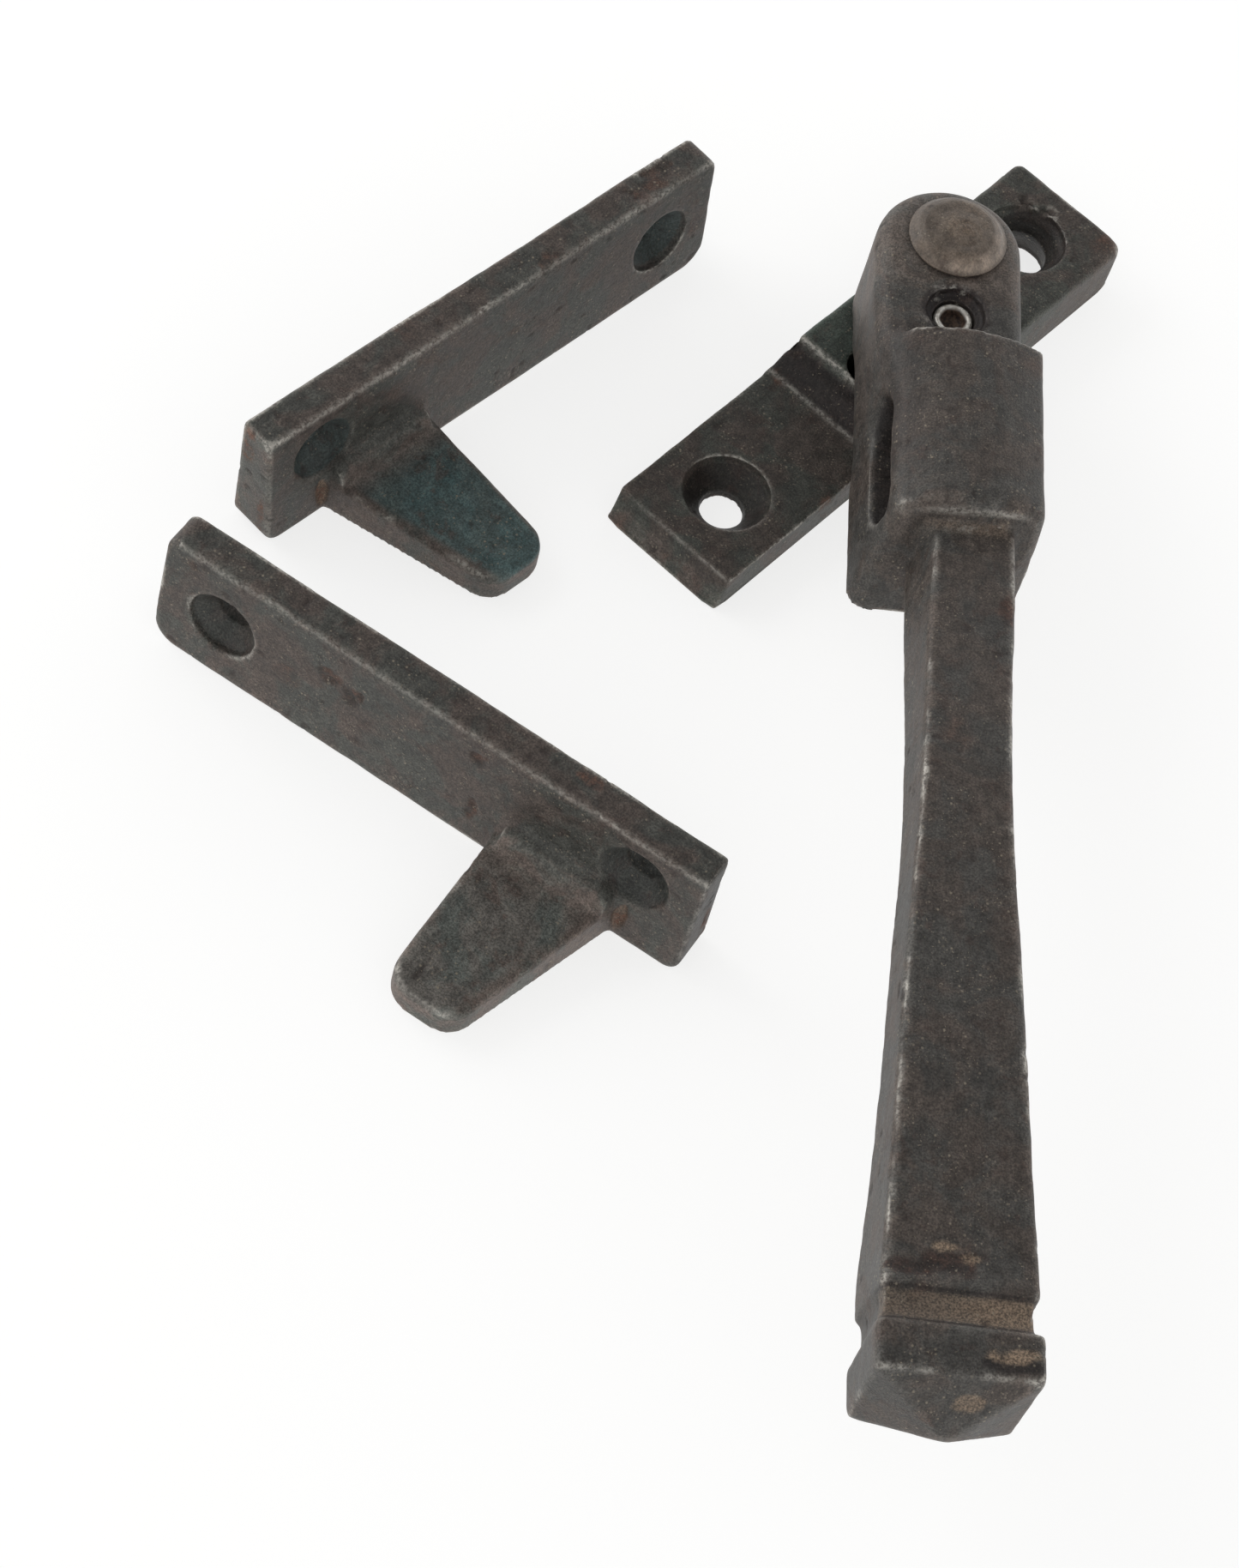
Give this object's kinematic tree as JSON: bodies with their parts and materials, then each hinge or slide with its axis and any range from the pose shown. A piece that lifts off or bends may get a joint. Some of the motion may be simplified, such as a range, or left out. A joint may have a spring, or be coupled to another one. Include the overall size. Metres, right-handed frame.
{
  "type": "casement window fastener",
  "caption": "Forged black locking night-vent fastener for a casement window: pivoting handle on a stepped fixing plate, with a left and a right hook plate.",
  "frame": {"origin": "on the flat back of the fixing plate, midway between its two screw holes", "axes": "+Z out of the sash, along the pivot rivet; +Y along the fixing plate, towards its thick end; +X across the plate, on the side that the handle swings to"},
  "size_m": [0.1448, 0.1522, 0.0284],
  "materials": {
    "dark_iron": "waxed forged iron, dark grey-brown with rust in the pits",
    "handle_iron": "waxed forged iron, dark grey-brown, worn along the edges",
    "rivet_iron": "waxed forged iron, browner and lighter",
    "hook_iron": "waxed forged iron, blue-green cast and rust patches",
    "washer_steel": "dull steel",
    "bright_steel": "bright stainless steel"
  },
  "bodies": {
    "plate": {"fixing_plate": "dark_iron", "pivot_rivet": "rivet_iron", "friction_washer": "washer_steel"},
    "handle": {"handle": "handle_iron"},
    "grub": {"grub_screw": "bright_steel"},
    "hook_left": {"hook_plate_left": "hook_iron"},
    "hook_right": {"hook_plate_right": "hook_iron"}
  },
  "joints": [
    {"name": "handle_pivot", "type": "hinge", "parent": "plate", "child": "handle", "pos_m": [0, 0.0083, 0], "axis": [0, 0, 1], "range_deg": [-40, 140]},
    {"name": "grub_screw_travel", "type": "slide", "parent": "handle", "child": "grub", "axis": [0, 0, -1], "range_m": [-0.0018, 0.0034]},
    {"name": "hook_left_slide", "type": "slide", "parent": "plate", "child": "hook_left", "axis": [-1, 0, 0], "range_m": [0, 0.02]},
    {"name": "hook_right_slide", "type": "slide", "parent": "plate", "child": "hook_right", "axis": [-1, 0, 0], "range_m": [0, 0.02]}
  ]
}
